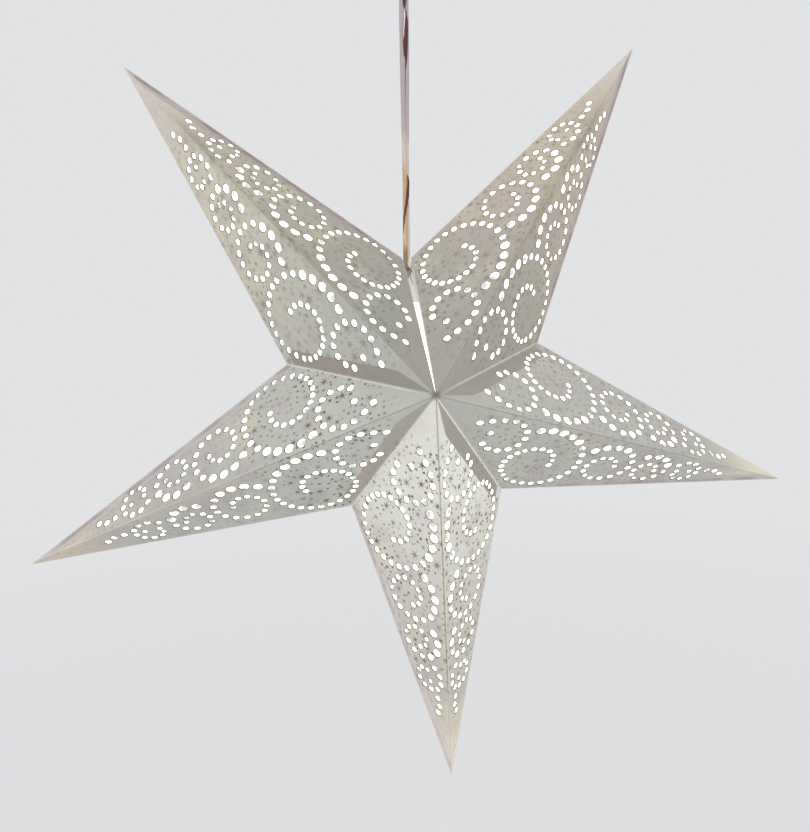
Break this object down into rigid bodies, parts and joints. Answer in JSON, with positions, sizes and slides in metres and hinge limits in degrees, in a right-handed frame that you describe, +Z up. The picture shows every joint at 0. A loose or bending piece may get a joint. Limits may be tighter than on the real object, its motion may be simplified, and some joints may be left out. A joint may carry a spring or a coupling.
{
  "type": "folding paper star pendant",
  "caption": "Hanging star lantern of punched white paper on a cord, with its lampholder, globe lamp and ceiling cup.",
  "frame": {"origin": "middle of the ceiling strap's upper face, where it meets the ceiling", "axes": "+Z up towards the ceiling with the cord hanging down the Z axis, the star's front faces -Y, +X to the right as seen from the front"},
  "size_m": [0.5669, 0.168, 0.6443],
  "materials": {
    "printed_paper": "matte",
    "string": "matte",
    "cord_sheath": "satin",
    "holder_plastic": "gloss",
    "cup_plastic": "satin",
    "zinc_steel": "satin",
    "brass": "satin",
    "nickel": "satin",
    "ceramic": "satin",
    "black_glass": "gloss",
    "lamp_white": "satin",
    "lamp_board": "satin",
    "opal": "satin"
  },
  "bodies": {
    "fixture": {"ceiling_strap": "zinc_steel", "cord_clamp": "cup_plastic", "clamp_screws": "zinc_steel", "terminal_block": "holder_plastic", "terminal_screws": "brass", "ceiling_leads": "cord_sheath", "cord": "cord_sheath", "cord_grip": "holder_plastic", "holder_cap": "holder_plastic", "holder_skirt": "holder_plastic", "socket_insert": "ceramic", "socket_shell": "brass", "centre_contact": "brass", "holder_terminals": "brass", "holder_leads": "cord_sheath"},
    "canopy": {"canopy_cup": "cup_plastic", "canopy_bush": "cup_plastic", "canopy_nut": "cup_plastic", "canopy_grub_screw": "zinc_steel"},
    "lamp": {"lamp_tip": "brass", "lamp_insulator": "black_glass", "lamp_base": "nickel", "lamp_collar": "lamp_white", "lamp_board": "lamp_board", "lamp_globe": "opal"},
    "star": {"arm_1_front_left": "printed_paper", "arm_1_front_right": "printed_paper", "arm_1_rear_left": "printed_paper", "arm_1_rear_right": "printed_paper", "arm_2_front_left": "printed_paper", "arm_2_front_right": "printed_paper", "arm_2_rear_left": "printed_paper", "arm_2_rear_right": "printed_paper", "arm_3_front_left": "printed_paper", "arm_3_front_right": "printed_paper", "arm_3_rear_left": "printed_paper", "arm_3_rear_right": "printed_paper", "arm_4_front_left": "printed_paper", "arm_4_front_right": "printed_paper", "arm_4_rear_left": "printed_paper", "arm_4_rear_right": "printed_paper", "arm_5_front_left": "printed_paper", "arm_5_front_right": "printed_paper", "arm_5_rear_left": "printed_paper", "arm_5_rear_right": "printed_paper", "valley_flap_1": "printed_paper", "valley_flap_2": "printed_paper", "valley_flap_3": "printed_paper", "valley_flap_4": "printed_paper", "valley_flap_5": "printed_paper", "rim_flap_1": "printed_paper", "rim_flap_2": "printed_paper", "rim_flap_3": "printed_paper", "rim_flap_4": "printed_paper", "rim_flap_5": "printed_paper", "closing_flap_front": "printed_paper", "closing_flap_rear": "printed_paper", "tie_string": "string"}
  },
  "joints": [
    {"name": "canopy_slide", "type": "slide", "parent": "fixture", "child": "canopy", "axis": [0, 0, -1], "range_m": [0, 0.09]},
    {"name": "star_turn", "type": "hinge", "parent": "fixture", "child": "star", "pos_m": [0, 0, -0.25], "axis": [0, 0, 1], "continuous": true},
    {"name": "lamp_unscrew", "type": "slide", "parent": "fixture", "child": "lamp", "axis": [0, 0, -1], "range_m": [0, 0.024]}
  ]
}
